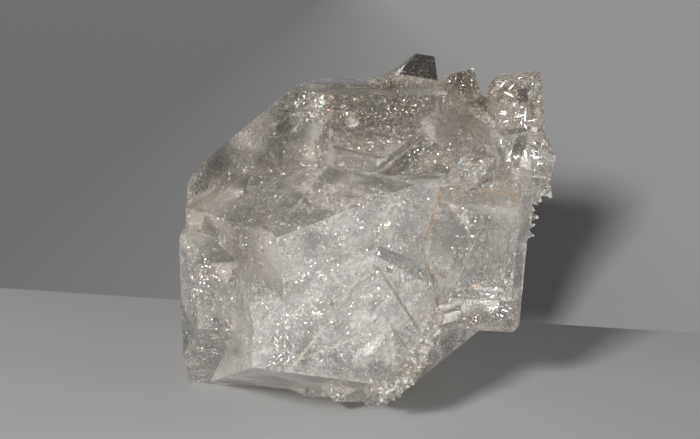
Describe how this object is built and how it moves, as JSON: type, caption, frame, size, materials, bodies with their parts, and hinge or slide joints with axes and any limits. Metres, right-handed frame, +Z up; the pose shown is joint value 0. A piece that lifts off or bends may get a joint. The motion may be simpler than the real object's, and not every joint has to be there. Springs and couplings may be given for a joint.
{
  "type": "herkimer diamond cluster",
  "caption": "Cluster of clear to milky double-ended quartz crystals grown together, one large crystal with smaller ones round it, resting on a flat base face.",
  "frame": {"origin": "middle of the cluster's bounding box, at the level of the flat face it rests on", "axes": "+Z up, -Y toward the broad front faces, +X to the right as seen from the front"},
  "size_m": [0.0992, 0.0972, 0.0897],
  "materials": {
    "clear_quartz": "glossy natural quartz faces, clear with milky veils, inner cracks and thin brown iron stain"
  },
  "bodies": {
    "root": {"crystal_cluster": "clear_quartz"}
  },
  "joints": []
}
